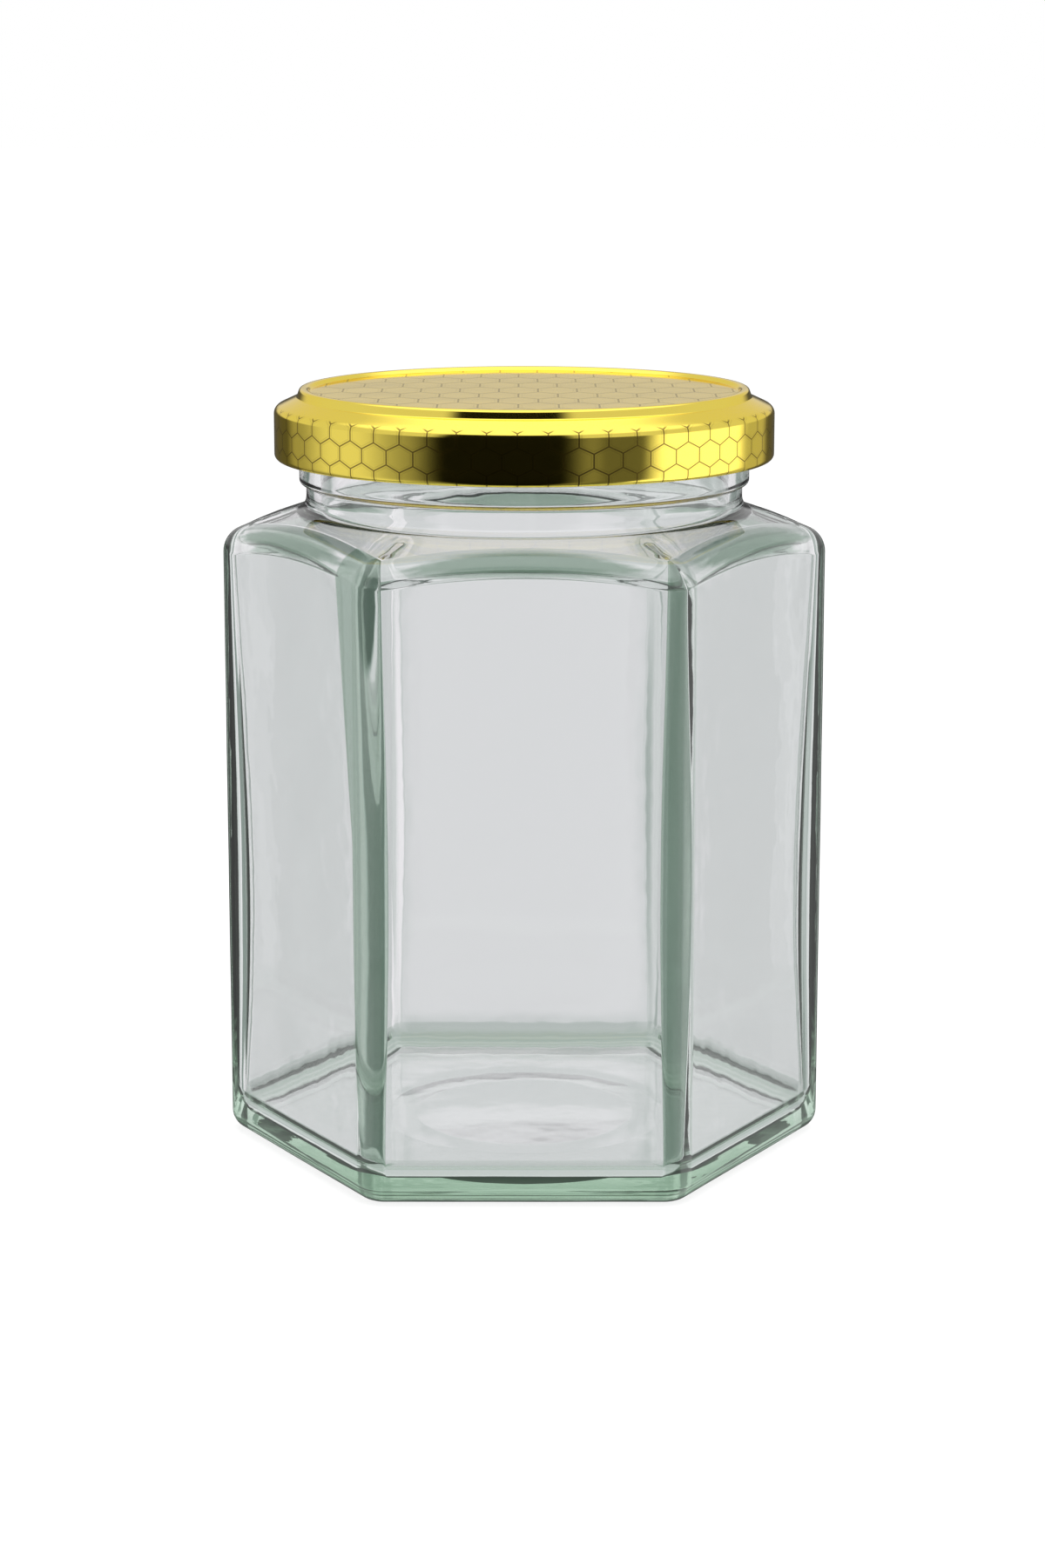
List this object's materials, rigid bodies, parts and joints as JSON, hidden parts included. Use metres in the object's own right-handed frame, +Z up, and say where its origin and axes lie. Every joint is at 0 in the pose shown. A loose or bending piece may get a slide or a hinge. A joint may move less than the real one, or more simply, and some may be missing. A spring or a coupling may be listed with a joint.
{
  "type": "hexagonal glass jar",
  "caption": "Empty six-sided jar of clear, faintly green glass with a round neck and a gold metal twist-off lid printed with a honeycomb.",
  "frame": {"origin": "middle of the base, on the surface that the jar stands on", "axes": "+Z up the jar towards the lid, one flat side faces -Y and one the other way, two upright corners lie on the X axis"},
  "size_m": [0.084, 0.074, 0.1066],
  "materials": {
    "clear_glass": "gloss",
    "gold_tinplate": "gloss"
  },
  "bodies": {
    "root": {"glass_jar": "clear_glass", "lid": "gold_tinplate"}
  },
  "joints": []
}
